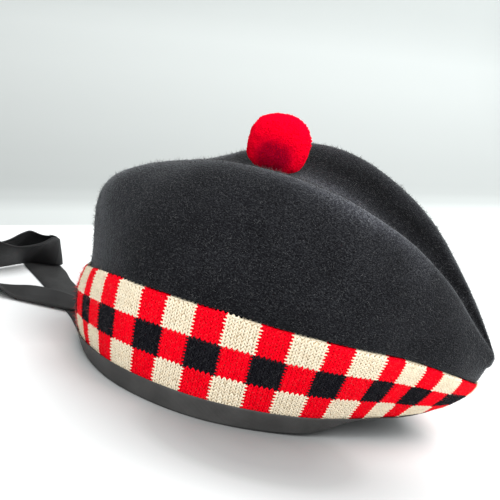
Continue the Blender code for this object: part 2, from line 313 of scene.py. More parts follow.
def aim_camera():
    """The camera, and the three directions of its picture: right, up and back."""
    azimuth, elevation, roll = (math.radians(a) for a in (CAMERA_AZIMUTH, CAMERA_ELEVATION, CAMERA_ROLL))
    back = Vector((math.sin(azimuth) * math.cos(elevation),
                   -math.cos(azimuth) * math.cos(elevation), math.sin(elevation)))
    level = Vector((math.cos(azimuth), math.sin(azimuth), 0.0))
    rise = back.cross(level)
    right = level * math.cos(roll) + rise * math.sin(roll)
    up = rise * math.cos(roll) - level * math.sin(roll)
    data = bpy.data.cameras.new("camera")
    data.lens = CAMERA_LENS
    data.sensor_width = SENSOR_WIDTH
    data.clip_end = CAMERA_FAR
    camera = bpy.data.objects.new("camera", data)
    camera.matrix_world = (Matrix.Translation(AIM + back * CAMERA_DISTANCE)
                           @ Matrix((right, up, back)).transposed().to_4x4())
    bpy.context.scene.collection.objects.link(camera)
    bpy.context.scene.camera = camera
    return right, up, back


def cloth(name, color, roughness, sheen=0.0, sheen_tint=(1.0, 1.0, 1.0), gloss=0.15):
    """A material with its shader; gloss is the strength of its plain reflection."""
    material = bpy.data.materials.new(name)
    material.use_nodes = True
    shader = material.node_tree.nodes["Principled BSDF"]
    shader.inputs["Base Color"].default_value = (*color, 1.0)
    shader.inputs["Roughness"].default_value = roughness
    shader.inputs["Specular IOR Level"].default_value = gloss
    shader.inputs["Sheen Weight"].default_value = sheen
    shader.inputs["Sheen Roughness"].default_value = 0.30
    shader.inputs["Sheen Tint"].default_value = (*sheen_tint, 1.0)
    return material


def add(material, kind, **settings):
    """A node in a material; settings are its properties, or its inputs by name."""
    node = material.node_tree.nodes.new(kind)
    for key, value in settings.items():
        if hasattr(node, key):
            setattr(node, key, value)
        else:
            node.inputs[key.replace("_", " ").title()].default_value = value
    return node


def join(material, source, output, target, socket):
    material.node_tree.links.new(source.outputs[output], target.inputs[socket])


def blotches(material, scale, detail=3.0, stretch=(1.0, 1.0, 1.0)):
    """Noise on the piece's own coordinates."""
    place = add(material, "ShaderNodeTexCoord")
    mapping = add(material, "ShaderNodeMapping")
    mapping.inputs["Scale"].default_value = stretch
    join(material, place, "Object", mapping, "Vector")
    texture = add(material, "ShaderNodeTexNoise", Scale=scale, Detail=detail)
    join(material, mapping, "Vector", texture, "Vector")
    return texture


def ramp(material, source, output, stops):
    """Colours along a value; stops are pairs of a place and a colour."""
    node = add(material, "ShaderNodeValToRGB")
    band = node.color_ramp
    while len(band.elements) < len(stops):
        band.elements.new(0.5)
    for element, (place, color) in zip(band.elements, stops):
        element.position = place
        element.color = (*color, 1.0)
    join(material, source, output, node, "Fac")
    return node


def bump(material, source, output, strength, distance, below=None):
    node = add(material, "ShaderNodeBump", Strength=strength, Distance=distance)
    join(material, source, output, node, "Height")
    if below:
        join(material, below, "Normal", node, "Normal")
    join(material, node, "Normal", material.node_tree.nodes["Principled BSDF"], "Normal")
    return node


def color_of(node):
    """The colour output of a node; a mixing node's is its third."""
    return node.outputs[2] if node.type == "MIX" else node.outputs["Color"]


def multiply(material, first, second):
    """The colours of two nodes multiplied."""
    node = add(material, "ShaderNodeMix", data_type="RGBA", blend_type="MULTIPLY")
    node.inputs[0].default_value = 1.0
    material.node_tree.links.new(color_of(first), node.inputs[6])
    material.node_tree.links.new(color_of(second), node.inputs[7])
    return node


def paint(material, node):
    shader = material.node_tree.nodes["Principled BSDF"]
    material.node_tree.links.new(color_of(node), shader.inputs["Base Color"])


def felt_material():
    """Milled wool: near black, with a grey nap and a few pale hairs."""
    material = cloth("felt", (0.007, 0.007, 0.008), 0.95, 0.50, (0.60, 0.63, 0.66), 0.05)
    grain = blotches(material, 1400.0, 5.0, (0.75, 0.75, 1.3))
    wide = blotches(material, 45.0, 3.0)
    fibres = ramp(material, grain, "Fac", ((0.34, (0.016, 0.016, 0.020)), (0.50, (0.052, 0.053, 0.064)),
                                           (0.62, (0.130, 0.136, 0.150)), (0.76, (0.280, 0.290, 0.300))))
    tone = ramp(material, wide, "Fac", ((0.30, (0.65, 0.65, 0.66)), (0.70, (1.0, 1.0, 1.0))))
    # The shade attribute carries the fold's painted shade and painted highlights
    fold = add(material, "ShaderNodeAttribute", attribute_name="shade")
    shaded = ramp(material, fold, "Fac", ((0.0, (0.045, 0.045, 0.048)), (0.5, (0.190, 0.190, 0.190)),
                                           (1.0, (1.0, 1.0, 1.0))))
    paint(material, multiply(material, multiply(material, fibres, tone), shaded))
    low = bump(material, wide, "Fac", 0.25, 0.0012)
    bump(material, grain, "Fac", 0.9, 0.0006, low)
    return material


def yarn_material(name, dark, plain, light):
    """Knitted wool of one colour; each stitch has its own shade."""
    material = cloth(name, plain, 0.9, 0.03, light, 0.05)
    shade = add(material, "ShaderNodeAttribute", attribute_name="shade")
    twist = blotches(material, 1400.0, 3.0, (1.0, 1.0, 0.5))
    tones = ramp(material, shade, "Fac", ((0.0, dark), (0.45, plain), (1.0, light)))
    fibre = ramp(material, twist, "Fac", ((0.30, (0.86, 0.86, 0.86)), (0.6, (1.0, 1.0, 1.0))))
    paint(material, multiply(material, tones, fibre))
    bump(material, twist, "Fac", 0.3, 0.0002)
    return material


def ribbon_material(name, color, light, roughness, gloss):
    """Woven ribbon: fine ribs across it, with a little wear, and darker past its first 110 mm."""
    material = cloth(name, color, roughness, 0.04, (0.7, 0.72, 0.75), gloss)
    place = add(material, "ShaderNodeUVMap", uv_map="cloth")
    ribs = add(material, "ShaderNodeTexWave", bands_direction="Y", Scale=520.0, Distortion=0.6)
    join(material, place, "UV", ribs, "Vector")
    wear = blotches(material, 90.0, 4.0)
    tone = ramp(material, wear, "Fac", ((0.30, color), (0.75, light)))
    lines = ramp(material, ribs, "Color", ((0.0, (0.72, 0.72, 0.72)), (0.6, (1.0, 1.0, 1.0))))
    run = add(material, "ShaderNodeSeparateXYZ")
    join(material, place, "UV", run, "Vector")
    darkening = ramp(material, run, "Y", ((0.11, (1.0, 1.0, 1.0)), (0.14, (0.35, 0.35, 0.37))))
    paint(material, multiply(material, multiply(material, tone, lines), darkening))
    bump(material, ribs, "Color", 0.35, 0.00025)
    return material


def wool_material():
    """The pompom's yarn: bright red, a deeper red as painted shade in the core and in the dent at the
    lower front.
    """
    material = cloth("pompom_wool", (0.9, 0.0, 0.012), 0.95, 0.45, (1.0, 0.0, 0.02), 0.03)
    shade = add(material, "ShaderNodeAttribute", attribute_name="shade")
    tones = ramp(material, shade, "Fac", ((0.0, (0.12, 0.0, 0.020)), (0.35, (0.36, 0.0, 0.024)),
                                          (0.70, (0.95, 0.0, 0.028)), (1.0, (1.0, 0.0, 0.024))))
    twist = blotches(material, 1200.0, 3.0)
    fibre = ramp(material, twist, "Fac", ((0.25, (0.9, 0.9, 0.9)), (0.6, (1.0, 1.0, 1.0))))
    paint(material, multiply(material, tones, fibre))
    return material


def piece(name, mesh, materials, nodes=()):
    """A finished piece on the bonnet."""
    thing = bpy.data.objects.new(name, mesh)
    bpy.context.scene.collection.objects.link(thing)
    for material in materials:
        mesh.materials.append(material)
    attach(thing, "root")
    if nodes:
        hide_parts(*nodes)
    return thing


def finish_mesh(bm, name):
    """A smooth mesh from a bmesh, which is freed."""
    mesh = bpy.data.meshes.new(name)
    bm.to_mesh(mesh)
    bm.free()
    mesh.shade_smooth()
    return mesh


def refine(node, crease_angle, crease, levels):
    """A finer copy of a node's mesh, with its quads restored and its sharp edges kept."""
    bm = bmesh.new()
    bm.from_mesh(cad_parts[node].data)
    bmesh.ops.remove_doubles(bm, verts=bm.verts, dist=0.00001)
    bmesh.ops.join_triangles(bm, faces=bm.faces, angle_face_threshold=0.7, angle_shape_threshold=3.14)
    creases = bm.edges.layers.float.new("crease_edge")
    for edge in bm.edges:
        if len(edge.link_faces) == 2 and edge.calc_face_angle() > math.radians(crease_angle):
            edge[creases] = crease
    holder = bpy.data.objects.new(node + "_fine", finish_mesh(bm, node + "_fine"))
    bpy.context.scene.collection.objects.link(holder)
    smoother = holder.modifiers.new("smoother", "SUBSURF")
    smoother.levels = smoother.render_levels = levels
    view = bpy.context.evaluated_depsgraph_get()
    fine = bpy.data.meshes.new_from_object(holder.evaluated_get(view))
    bpy.data.objects.remove(holder, do_unlink=True)
    return fine


def read_points(mesh):
    flat = np.empty(len(mesh.vertices) * 3)
    mesh.vertices.foreach_get("co", flat)
    return flat.reshape(-1, 3)


def repeat(base, places, axes):
    """One mesh from many copies of a small one. places are the copies' origins and axes their
    three scaled directions; the second value is the number of points in a copy."""
    points = read_points(base)
    faces = [tuple(polygon.vertices) for polygon in base.polygons]
    everything = (np.einsum("ij,njk->nik", points, axes) + places[:, None, :]).reshape(-1, 3)
    count = len(points)
    copied = [tuple(i + k * count for i in face) for k in range(len(places)) for face in faces]
    mesh = bpy.data.meshes.new("copies")
    mesh.from_pydata(everything.tolist(), [], copied)
    mesh.shade_smooth()
    return mesh, count


def shade_copies(mesh, values, count):
    layer = mesh.attributes.new("shade", "FLOAT", "POINT")
    layer.data.foreach_set("value", np.repeat(values, count).astype(np.float32))


def ease(value, start, end):
    """A smooth step from 0 at the start to 1 at the end."""
    t = min(max((value - start) / (end - start), 0.0), 1.0)
    return t * t * (3 - 2 * t)


def tuck(mesh):
    """Lift the rim at the front, where the binding turns in under the band."""
    points = read_points(mesh)
    turn = np.abs(np.degrees(np.arctan2(points[:, 1], points[:, 0])))
    height = (points[:, 2] - np.interp(turn, RIM_TURNS, RIM_HEIGHTS)) / BOUND_HEIGHT
    points[:, 2] += np.interp(turn, TUCK_TURNS, TUCK_LIFTS) * np.clip(1 - height, 0, 1)
    mesh.vertices.foreach_set("co", points.ravel())
    mesh.update()


# Felt body
def make_felt():
    mesh = refine("bonnet_body", 50.0, 0.7, 2)
    for vertex, normal in zip(mesh.vertices, [v.normal.copy() for v in mesh.vertices]):
        place = vertex.co
        roll = noise.noise(place * ROLL_SCALE) * FELT_ROLL
        grain = noise.noise(place * GRAIN_SCALE) * FELT_GRAIN
        vertex.co = place + normal * (roll + grain)
    tuck(mesh)
    shade_copies(mesh, fold_painted_light(mesh), 1)
    return piece("felt_body", mesh, [felt_material()], ["bonnet_body"])


def fold_painted_light(mesh):
    """Painted light on the felt, as its shade attribute: plain on its sides, painted shade on the far
    slope of the crown's fold and on the near crest towards the rear, and painted highlights for the
    nap's sheen on the valley's floor, at the rear and along the crest of the near ridge."""
    points = read_points(mesh)
    x, y, z = points.T
    shade = np.full(len(points), PLAIN_SHADE)
    stops = np.linspace(x.min(), x.max(), FOLD_COLUMNS + 1)
    for low, high in zip(stops[:-1], stops[1:]):
        here = (x >= low) & (x <= high)
        left = here & (y > 0)
        crest = points[left][np.argmax(z[left])]
        slope = left & (y < crest[1]) & (z > crest[2] * SLOPE_BOTTOM)
        rise = y[slope] / crest[1]
        # Painted highlight on the valley's floor, and painted shade on the far slope
        floor = np.interp(x[slope], FLOOR_RUN, (0.0, VALLEY_PAINTED_SHEEN)) * np.clip(1 - rise / FLOOR_REACH, 0, 1)
        dark = PLAIN_SHADE * np.exp(-((rise - FOLD_DEPTH) / FOLD_SPREAD) ** 2)
        shade[slope] = PLAIN_SHADE + floor - dark
        right = here & (y <= 0)
        crest = points[right][np.argmax(z[right])]
        near = right & (z > crest[2] * CREST_BOTTOM)
        off = y[near] - crest[1]
        # Painted highlight along the near crest, and painted shade on it towards the rear
        painted_crest_mask = np.exp(-(off / CREST_WIDTH) ** 2) + CREST_INNER * (off > 0)
        place = (x[near] - CREST_START) / CREST_LENGTH
        darkening = CREST_REAR_PAINTED_SHADE * np.clip(-place / CREST_REAR_SHADE_RUN, 0, 1)
        shade[near] = PLAIN_SHADE + np.clip(painted_crest_mask, 0, 1) * (np.interp(place, *CREST_PALE) - darkening)
    # Painted highlight at the rear
    return shade + np.interp(x, REAR_RUN, (REAR_PAINTED_SHEEN, 0.0))


def hair():
    """A loose hair: a thin three-sided spike along +Z, one unit long."""
    bm = bmesh.new()
    bmesh.ops.create_cone(bm, cap_ends=True, segments=3, radius1=HAIR_RADIUS, radius2=0.0, depth=1.0)
    bmesh.ops.remove_doubles(bm, verts=bm.verts, dist=0.0000001)
    bmesh.ops.translate(bm, verts=bm.verts, vec=(0.0, 0.0, 0.5))
    return finish_mesh(bm, "hair")


def unit(rows):
    """Vectors, in rows, at a length of one."""
    return rows / np.maximum(np.linalg.norm(rows, axis=-1, keepdims=True), 1e-9)


def fibre_axes(directions, lengths, widths):
    """Directions for copies of a fibre, as the rows of a matrix for each."""
    helper = np.where(np.abs(directions[:, 2:3]) < 0.9, [[0.0, 0.0, 1.0]], [[1.0, 0.0, 0.0]])
    side = unit(np.cross(directions, helper))
    other = np.cross(directions, side)
    widths = widths[:, None]
    return np.stack([side * widths, other * widths, directions * lengths[:, None]], axis=1)


def scatter(mesh, count, accept):
    """Random places and normals on a mesh's faces, even by area."""
    mesh.calc_loop_triangles()
    corners = np.empty(len(mesh.loop_triangles) * 3, dtype=int)
    mesh.loop_triangles.foreach_get("vertices", corners)
    corners = corners.reshape(-1, 3)
    points = read_points(mesh)
    a, b, c = points[corners[:, 0]], points[corners[:, 1]], points[corners[:, 2]]
    cross = np.cross(b - a, c - a)
    area = np.linalg.norm(cross, axis=1)
    normal = cross / np.maximum(area, 1e-12)[:, None]
    middle = (a + b + c) / 3
    area = area * np.array([accept(Vector(m), Vector(n)) for m, n in zip(middle, normal)])
    chosen = stream.choice(len(area), size=count, p=area / area.sum())
    u, v = stream.random(count), stream.random(count)
    flip = u + v > 1
    u, v = np.where(flip, 1 - u, u), np.where(flip, 1 - v, v)
    place = a[chosen] + u[:, None] * (b - a)[chosen] + v[:, None] * (c - a)[chosen]
    return place, normal[chosen]


def make_nap(felt):
    """Short hairs that stand off the felt's outer face."""
    tree = BVHTree.FromPolygons([v.co for v in felt.data.vertices],
                                [tuple(p.vertices) for p in felt.data.polygons])
    band_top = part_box("diced_band")[1][2]

    def outside(place, normal):
        if normal.z < NAP_UNDER or place.z < band_top * NAP_BOTTOM:
            return False
        start = place + normal * 0.0005
        clear = tree.ray_cast(start, normal)[0] is None
        return clear or tree.ray_cast(start, Vector((0.0, 0.0, 1.0)))[0] is None

    place, normal = scatter(felt.data, NAP_FIBRES, outside)
    direction = unit(normal * NAP_LEAN + stream.normal(0.0, NAP_LEAN, place.shape))
    direction = np.where((direction * normal).sum(axis=1, keepdims=True) < NAP_FLATTEST,
                         unit(direction + normal * NAP_RAISE), direction)
    lengths = NAP_LENGTH * (NAP_SHORTEST + stream.random(len(place)) ** 3 * NAP_LONGER)
    axes = fibre_axes(direction, lengths, np.full(len(place), NAP_WIDTH))
    mesh, count = repeat(hair(), place - normal * 0.0001, axes)
    shade_copies(mesh, stream.random(len(place)) ** 2, count)
    material = cloth("nap", (0.05, 0.052, 0.055), 0.9, 0.3, (0.7, 0.7, 0.7))
    shade = add(material, "ShaderNodeAttribute", attribute_name="shade")
    tones = ((0.0, (0.010, 0.010, 0.012)), (0.7, (0.040, 0.041, 0.045)), (1.0, (0.11, 0.11, 0.11)))
    paint(material, ramp(material, shade, "Fac", tones))
    return piece("felt_nap", mesh, [material])


# Diced band
def measure_band():
    """The band's outer face as a grid: rows of points from its lower to its upper edge, for
    places round the opening."""
    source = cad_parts["diced_band"].data
    tree = BVHTree.FromPolygons([v.co for v in source.vertices],
                                [tuple(p.vertices) for p in source.polygons])

    def radius(angle, height):
        outward = Vector((math.cos(angle), math.sin(angle), 0.0))
        hit = tree.ray_cast(outward * RAY_REACH + Vector((0.0, 0.0, height)), -outward, RAY_REACH)
        return None if hit[0] is None else RAY_REACH - hit[3]

    def edge(angle, outside):
        inside = BAND_INSIDE
        for _ in range(EDGE_STEPS):
            middle = (inside + outside) / 2
            if radius(angle, middle) is None:
                outside = middle
            else:
                inside = middle
        return inside

    grid = np.empty((GRID_TURNS, GRID_ROWS + 1, 3))
    for i in range(GRID_TURNS):
        angle = math.radians(i * 360.0 / GRID_TURNS - 180.0)
        low, high = edge(angle, BAND_BELOW), edge(angle, BAND_ABOVE)
        for j in range(GRID_ROWS + 1):
            height = low + (high - low) * j / GRID_ROWS
            out = radius(angle, height)
            grid[i, j] = (out * math.cos(angle), out * math.sin(angle), height)
    return grid


def on_band(grid, degrees, share):
    """Points of the band's outer face at places round it, in degrees, and shares of its height."""
    u = (np.asarray(degrees) + 180.0) / 360.0 * GRID_TURNS
    v = np.clip(np.asarray(share), 0.0, 1.0) * GRID_ROWS
    i = np.floor(u).astype(int)
    j = np.minimum(np.floor(v).astype(int), GRID_ROWS - 1)
    fu, fv = (u - i)[..., None], (v - j)[..., None]
    i0, i1 = i % GRID_TURNS, (i + 1) % GRID_TURNS
    low = grid[i0, j] * (1 - fu) + grid[i1, j] * fu
    high = grid[i0, j + 1] * (1 - fu) + grid[i1, j + 1] * fu
    return low * (1 - fv) + high * fv


def band_frames(grid, degrees, share):
    """Place, outward normal, sideways and upward direction on the band."""
    place = on_band(grid, degrees, share)
    side = unit(on_band(grid, degrees + TURN_STEP, share) - on_band(grid, degrees - TURN_STEP, share))
    up = on_band(grid, degrees, share + SHARE_STEP) - on_band(grid, degrees, share - SHARE_STEP)
    normal = unit(np.cross(side, unit(up)))
    return place, normal, side, np.cross(normal, side)


def width_at(grid, degrees, share, turn):
    """How wide a turn of some degrees is on the band, at places round it and shares of its height."""
    ends = [on_band(grid, degrees + half, share) for half in (turn / 2, -turn / 2)]
    return np.linalg.norm(ends[0] - ends[1], axis=1)


def column_edges():
    """The edges of all columns in degrees: the right side's, the left's as their mirror image, and
    even ones at the rear."""
    right = list(COLUMN_EDGES)
    left = [-angle for angle in reversed(right[:-1])]
    gap = (360.0 - 2 * abs(right[0])) / REAR_COLUMNS
    rear = [left[-1] + gap * k for k in range(1, REAR_COLUMNS)]
    return np.array(right + left + rear + [right[0] + 360.0])


def course_shares():
    """The middles of the courses, from the top down, as shares of the band's height."""
    shares = []
    for k in range(COURSES_SHOWN):
        row = k // COURSES
        top, bottom = ROW_EDGES[row], ROW_EDGES[row + 1]
        shares.append(top + (bottom - top) * (k % COURSES + 0.5) / COURSES)
    return np.array(shares)


def yarn_of(column, row):
    """Chart of the dicing: 0 red, 1 cream, 2 black."""
    if (column + row) % 2 == 0:
        return 0
    return 1 if column % 2 else 2


def loop_half(lean):
    """Half of a knitted stitch: a plump bent spindle that leans to one side, in units of the
    stitch's width, height and thickness."""
    bm = bmesh.new()
    bmesh.ops.create_uvsphere(bm, u_segments=4, v_segments=4, radius=0.5)
    bmesh.ops.rotate(bm, verts=bm.verts, matrix=Matrix.Rotation(math.radians(45.0), 3, "Z"))
    for vertex in bm.verts:
        x, y, z = vertex.co
        along = 2 * z
        width = LOOP_WIDTH * (1.0 - LOOP_TAPER * along)
        out = x * width + lean * (LOOP_LEAN + LOOP_SPREAD * along)
        vertex.co = (out, -y - LOOP_BEND * out * out, z * LOOP_HEIGHT - LOOP_SAG * (1 - along ** 2))
    return finish_mesh(bm, "loop_half")


def strand(tilt):
    """A plump strand of yarn one unit long that lies sideways and rises by a tilt, in degrees."""
    bm = bmesh.new()
    bmesh.ops.create_uvsphere(bm, u_segments=4, v_segments=4, radius=0.5)
    bmesh.ops.rotate(bm, verts=bm.verts, matrix=Matrix.Rotation(math.radians(45.0), 3, "Z"))
    bmesh.ops.rotate(bm, verts=bm.verts, matrix=Matrix.Rotation(math.radians(90.0 - tilt), 3, "Y"))
    return finish_mesh(bm, "strand")


def teeth(grid, edges, courses, colour):
    """Strands that reach over the upright edges of the cream or the black squares, and the row
    that binds off the squares of one colour at the band's upper edge."""
    columns = len(edges) - 1
    meshes = []
    for lean in (-1.0, 1.0):
        spots = []
        for column in range(columns):
            step = (edges[column + 1] - edges[column]) / WALES
            side = edges[column] if lean < 0 else edges[column + 1]
            for k, share in enumerate(courses):
                if colour and yarn_of(column, k // COURSES) == colour:
                    spots.append((side + lean * step * TOOTH_REACH, share, step * TOOTH_LENGTH))
        if spots:
            meshes.append(lay_strands(grid, spots, lean * TOOTH_TILT, YARN_LIFT[colour]))
    spots = []
    for column in range(columns):
        step = (edges[column + 1] - edges[column]) / WALES
        if yarn_of(column, 0) == colour:
            spots += [(edges[column] + step * (wale + 0.5), BIND_OFF, step * BIND_LENGTH)
                      for wale in range(WALES)]
    if spots:
        meshes.append(lay_strands(grid, spots, 0.0, 0.0))
    return meshes


def lay_strands(grid, spots, tilt, lift):
    """Strands at places round the band, shares of its height, and lengths in degrees."""
    degrees, share, length = np.array(spots).T
    share = share + stream.normal(0.0, STRAND_PLACE_SCATTER, len(share)) * COURSE_HEIGHT
    place, normal, side, up = band_frames(grid, degrees, share)
    width = width_at(grid, degrees, share, length)
    width = width * (1 + stream.normal(0.0, STRAND_LENGTH_SCATTER, len(width)))
    axes = np.stack([side * width[:, None], normal * STRAND_HEIGHT, up * STRAND_HEIGHT], axis=1)
    mesh, count = repeat(strand(tilt), place + normal * (lift - STITCH_SINK / 2), axes)
    shade_stitches(mesh, count, len(width))
    return mesh


def shade_stitches(mesh, count, stitches):
    """Give each stitch of a mesh its own shade about the middle one; count is its points."""
    shades = PLAIN_SHADE + stream.normal(0.0, SHADE_SCATTER, stitches)
    shade_copies(mesh, np.clip(shades, 0, 1), count)


def make_band():
    grid = measure_band()
    edges = column_edges()
    courses = course_shares()
    columns = len(edges) - 1
    yarns = (("red_stitches", yarn_material("red_yarn", *RED)),
             ("cream_stitches", yarn_material("cream_yarn", *CREAM)),
             ("black_stitches", yarn_material("black_yarn", *BLACK)))
    places = {0: [], 1: [], 2: []}
    for column in range(columns):
        step = (edges[column + 1] - edges[column]) / WALES
        for k, share in enumerate(courses):
            colour = yarn_of(column, k // COURSES)
            for wale in range(WALES):
                places[colour].append((edges[column] + step * (wale + 0.5), share, step))
    for colour, (name, material) in enumerate(yarns):
        degrees, share, step = np.array(places[colour]).T
        jitter = stream.normal(0.0, PLACE_SCATTER, (2, len(degrees)))
        degrees = degrees + jitter[0] * step
        share = share + jitter[1] * COURSE_HEIGHT + COURSE_LIFT
        place, normal, side, up = band_frames(grid, degrees, share)
        width = width_at(grid, degrees, share, step)
        # Measured a little lower, so that the uppermost course isn't cut off by the band's edge
        height = np.linalg.norm(on_band(grid, degrees, share + COURSE_HEIGHT / 2 - SHARE_STEP)
                                - on_band(grid, degrees, share - COURSE_HEIGHT / 2 - SHARE_STEP), axis=1)
        bm = bmesh.new()
        for lean in (-1.0, 1.0):
            thick = STITCH_THICKNESS * (1 + stream.normal(0.0, THICKNESS_SCATTER, len(width)))
            axes = np.stack([side * width[:, None], normal * thick[:, None], up * height[:, None]], axis=1)
            mesh, count = repeat(loop_half(lean), place + normal * (YARN_LIFT[colour] - STITCH_SINK), axes)
            shade_stitches(mesh, count, len(width))
            bm.from_mesh(mesh)
        for mesh in teeth(grid, edges, courses, colour):
            bm.from_mesh(mesh)
        bmesh.ops.recalc_face_normals(bm, faces=bm.faces)
        whole = finish_mesh(bm, name)
        tuck(whole)
        piece(name, whole, [material])
    make_backing(grid, edges, [material for _, material in yarns])
    make_wisps(grid, edges)


def make_backing(grid, edges, materials):
    """The knit behind the stitches, in the same squares, in its yarns' darkest colour as painted shade
    for the gaps between them.
    """
    columns = len(edges) - 1
    bm = bmesh.new()
    bmesh.ops.create_grid(bm, x_segments=columns * BACKING_ACROSS, y_segments=BACKING_ROWS, size=0.5)
    layer = bm.verts.layers.float.new("shade")
    for vertex in bm.verts:
        degrees = np.interp((vertex.co.x + 0.5) * columns, np.arange(columns + 1), edges)
        share = BACKING_START + (BACKING_END - BACKING_START) * (vertex.co.y + 0.5)
        place, normal, _, _ = band_frames(grid, np.array([degrees]), np.array([share]))
        last = share > BACKING_END - 0.5 / BACKING_ROWS
        vertex.co = Vector(place[0] - normal[0] * (BACKING_EDGE_SINK if last else BACKING_SINK))
        # Painted shade: the backing takes its yarn's colour between stitches
        vertex[layer] = BACKING_SHADE
    for face in bm.faces:
        middle = face.calc_center_median()
        angle = math.degrees(math.atan2(middle.y, middle.x))
        if angle < edges[0]:
            angle += 360.0
        column = int(np.searchsorted(edges, angle) - 1)
        low = on_band(grid, angle, 0.0)[2]
        high = on_band(grid, angle, 1.0)[2]
        share = (middle.z - low) / (high - low)
        row = 0 if share > ROW_EDGES[1] else 1 if share > ROW_EDGES[2] else 2
        face.material_index = yarn_of(column, row)
    bmesh.ops.remove_doubles(bm, verts=bm.verts, dist=0.00002)
    bmesh.ops.recalc_face_normals(bm, faces=bm.faces)
    mesh = finish_mesh(bm, "knit_backing")
    tuck(mesh)
    thing = piece("knit_backing", mesh, materials, ["diced_band"])
    wall = thing.modifiers.new("wall", "SOLIDIFY")
    wall.thickness = BACKING_WALL
    wall.offset = -1.0


def make_wisps(grid, edges):
    """Loose hairs of the yarns on the knit, each the colour of the square that it comes from."""
    degrees = stream.random(WISPS) * 360.0 + edges[0]
    share = WISP_START + (1 - WISP_START) * stream.random(WISPS)
    place, normal, side, up = band_frames(grid, degrees, share)
    direction = unit(normal * (WISP_LIFT[0] + WISP_LIFT[1] * stream.random((WISPS, 1)))
                     + side * stream.normal(0.0, WISP_SPREAD, (WISPS, 1))
                     + up * stream.normal(0.0, WISP_SPREAD, (WISPS, 1)))
    loose = np.interp(place[:, 0], LOOSE_RUN, (2.0, 1.0))
    lengths = WISP_LENGTH * (WISP_SHORTEST + WISP_LONGER * stream.random(WISPS) ** 2) * loose
    mesh, count = repeat(hair(), place, fibre_axes(direction, lengths, np.full(WISPS, WISP_WIDTH)))
    column = np.clip(np.searchsorted(edges, degrees) - 1, 0, len(edges) - 2)
    row = np.clip(np.searchsorted(-np.array(ROW_EDGES[1:-1]), -share), 0, 2)
    colors = np.array(WISP_COLORS)[[yarn_of(c, r) for c, r in zip(column, row)]]
    tuck(mesh)
    layer = mesh.attributes.new("yarn", "FLOAT_COLOR", "POINT")
    rows = np.concatenate([np.repeat(colors, count, axis=0), np.ones((WISPS * count, 1))], axis=1)
    layer.data.foreach_set("color", rows.astype(np.float32).ravel())
    material = cloth("wisps", (0.8, 0.5, 0.5), 0.9, 0.1)
    paint(material, add(material, "ShaderNodeAttribute", attribute_name="yarn"))
    piece("knit_wisps", mesh, [material])


# Ribbons and binding
def lay_uv(mesh, positions):
    """A UV map from a function of a point: across and along the cloth, in metres."""
    layer = mesh.uv_layers.new(name="cloth")
    values = positions(read_points(mesh))
    index = np.empty(len(mesh.loops), dtype=int)
    mesh.loops.foreach_get("vertex_index", index)
    layer.data.foreach_set("uv", values[index].astype(np.float32).ravel())


def along_route(route):
    """A function that says how far along a route on the surface each point lies, and how high."""
    stops = np.array(route)
    spans = np.diff(stops, axis=0)
    lengths = np.linalg.norm(spans, axis=1)
    starts = np.concatenate([[0.0], np.cumsum(lengths)])

    def positions(points):
        best = np.full(len(points), 9.0)
        along = np.zeros(len(points))
        for k in range(len(spans)):
            offset = points[:, :2] - stops[k]
            t = np.clip((offset @ spans[k]) / lengths[k] ** 2, 0.0, 1.0)
            distance = np.linalg.norm(offset - t[:, None] * spans[k], axis=1)
            closer = distance < best
            best = np.where(closer, distance, best)
            along = np.where(closer, starts[k] + t * lengths[k], along)
        return np.stack([points[:, 2] + best, along], axis=1)

    return positions


def round_rim(points):
    """Across and along for the binding: its height, and the way round the opening."""
    angle = np.arctan2(points[:, 1], points[:, 0])
    return np.stack([points[:, 2], angle * RIM_RADIUS], axis=1)


def make_ribbons():
    tail = ribbon_material("tail_ribbon", (0.024, 0.024, 0.024), (0.042, 0.042, 0.042), 0.5, 0.10)
    for node, route, rests in (("ribbon_tail_long", LONG_ROUTE, ["ribbon_tail_short_cloth", "floor"]),
                               ("ribbon_tail_short", SHORT_ROUTE, ["floor"])):
        mesh = refine(node, 60.0, 0.6, 2)
        for vertex in mesh.vertices:
            tip = ease(vertex.co.y, *TIP_RUN)
            height = min(vertex.co.z / RIBBON_WIDTH, 1.0)
            vertex.co.x += tip * (1 - height) * (TIP_LEAN + 4 * TIP_BULGE * height)
            vertex.co.z -= TIP_PRESS * tip * max(vertex.co.z - TIP_HEIGHT, 0.0)
        mesh.update()
        lay_uv(mesh, along_route(route))
        thing = piece(node + "_cloth", mesh, [tail], [node])
    bound = ribbon_material("binding_ribbon", (0.052, 0.051, 0.050), (0.080, 0.079, 0.077), 0.6, 0.25)
    mesh = refine("edge_binding", 60.0, 0.4, 2)
    tuck(mesh)
    lay_uv(mesh, round_rim)
    piece("binding_cloth", mesh, [bound], ["edge_binding"])


# Pompom
def pressed_ball(direction, half):
    """Points of a ball that is a little square, and flat below where it sits."""
    power = np.where(direction[:, 2:3] < 0, SQUARE_BELOW, SQUARE_ABOVE)
    level = np.hypot(direction[:, 0:1], direction[:, 1:2])
    size = (level ** power + np.abs(direction[:, 2:3]) ** power) ** (-1 / power)
    return direction * size * half


def make_pompom():
    low, high = (np.array(corner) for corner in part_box("toorie"))
    middle = (low + high) / 2
    half = (high - low) / 2
    material = wool_material()
    bm = bmesh.new()
    bmesh.ops.create_icosphere(bm, subdivisions=5, radius=1.0)
    directions = np.array([vertex.co.normalized() for vertex in bm.verts])
    for vertex, place in zip(bm.verts, pressed_ball(directions, half)):
        ripple = 1 + CORE_RIPPLE * noise.noise(vertex.co * RIPPLE_SCALE)
        vertex.co = Vector(middle + place * CORE_SHARE * ripple)
    mesh = finish_mesh(bm, "pompom_core")
    # Painted shade: the core is a little darker where it shows between the strands
    shade_copies(mesh, np.full(len(mesh.vertices), CORE_SHADE), 1)
    piece("pompom_core", mesh, [material], ["toorie"])
    make_strands(middle, half, material)


